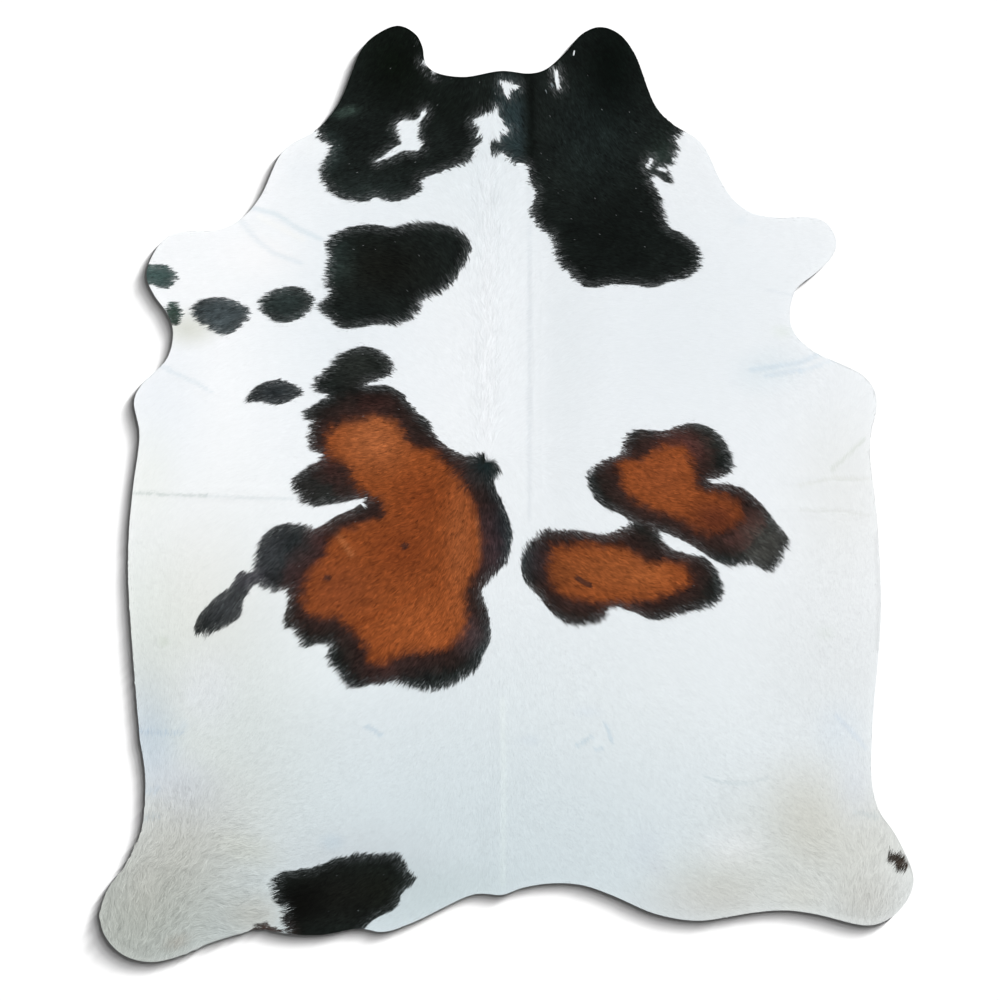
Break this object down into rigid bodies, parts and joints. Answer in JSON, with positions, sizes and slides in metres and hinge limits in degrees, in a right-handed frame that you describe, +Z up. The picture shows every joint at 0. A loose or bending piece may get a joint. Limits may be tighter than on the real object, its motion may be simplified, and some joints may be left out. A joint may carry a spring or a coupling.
{
  "type": "cowhide rug",
  "caption": "Flat rug made of a whole tanned cowhide with its coat on, cut clean round the neck, legs and tail end.",
  "frame": {"origin": "middle of the rug's box, on the surface it lies on", "axes": "+Z up out of the coat, +Y along the back towards the neck, +X to the right seen from above"},
  "size_m": [1.87, 2.153, 0.0116],
  "materials": {
    "coat": "hair-on cowhide, short glossy coat, white with black and rust-brown patches"
  },
  "bodies": {
    "root": {"hide": "coat"}
  },
  "joints": []
}
